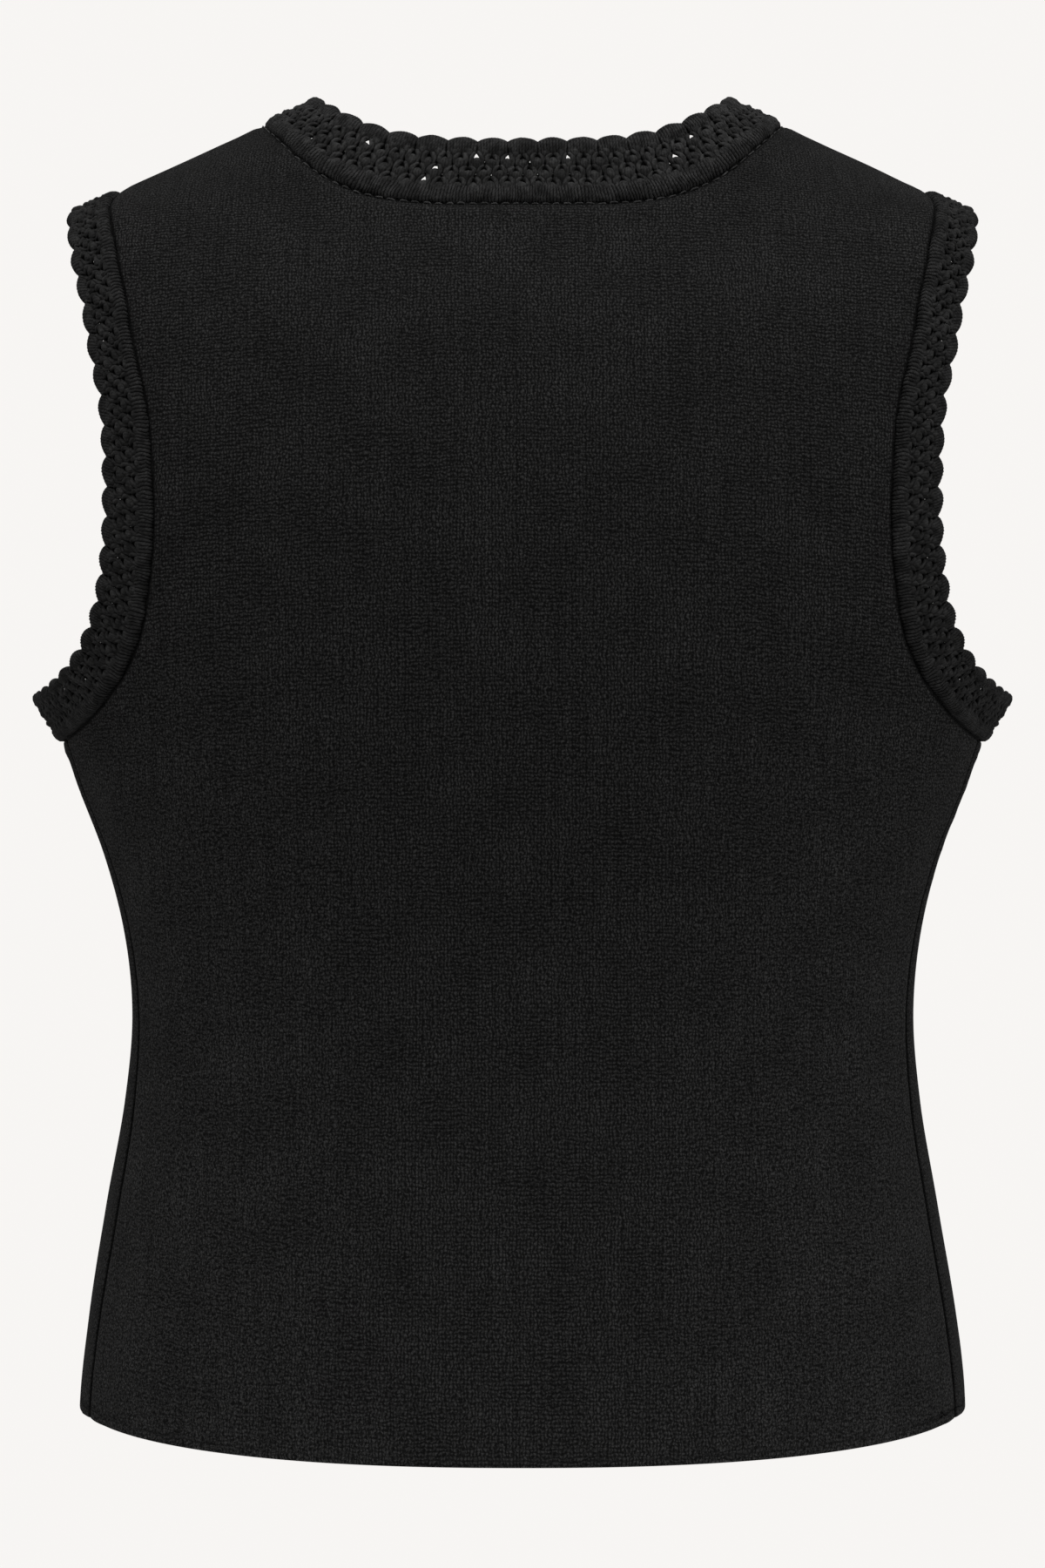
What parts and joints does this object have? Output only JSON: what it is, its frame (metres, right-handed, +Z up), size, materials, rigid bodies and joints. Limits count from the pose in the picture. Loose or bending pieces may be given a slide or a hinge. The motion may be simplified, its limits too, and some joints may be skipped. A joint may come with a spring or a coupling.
{
  "type": "sweater vest",
  "caption": "Sleeveless fine-knit pullover vest, filled out as worn, with a rolled and scalloped crochet trim round neck and armholes.",
  "frame": {"origin": "midway between the two high shoulder points, where the wearer's shoulders hold the vest", "axes": "+Z up along the body, the back panel faces -Y, the front panel faces +Y, +X is the wearer's right"},
  "size_m": [0.37, 0.2263, 0.4996],
  "materials": {
    "knit": "fine matte black knit",
    "crochet": "matte black crochet yarn"
  },
  "bodies": {
    "root": {"back_panel": "knit", "front_panel": "knit", "neck_trim": "crochet", "armhole_trim_left": "crochet", "armhole_trim_right": "crochet"}
  },
  "joints": []
}
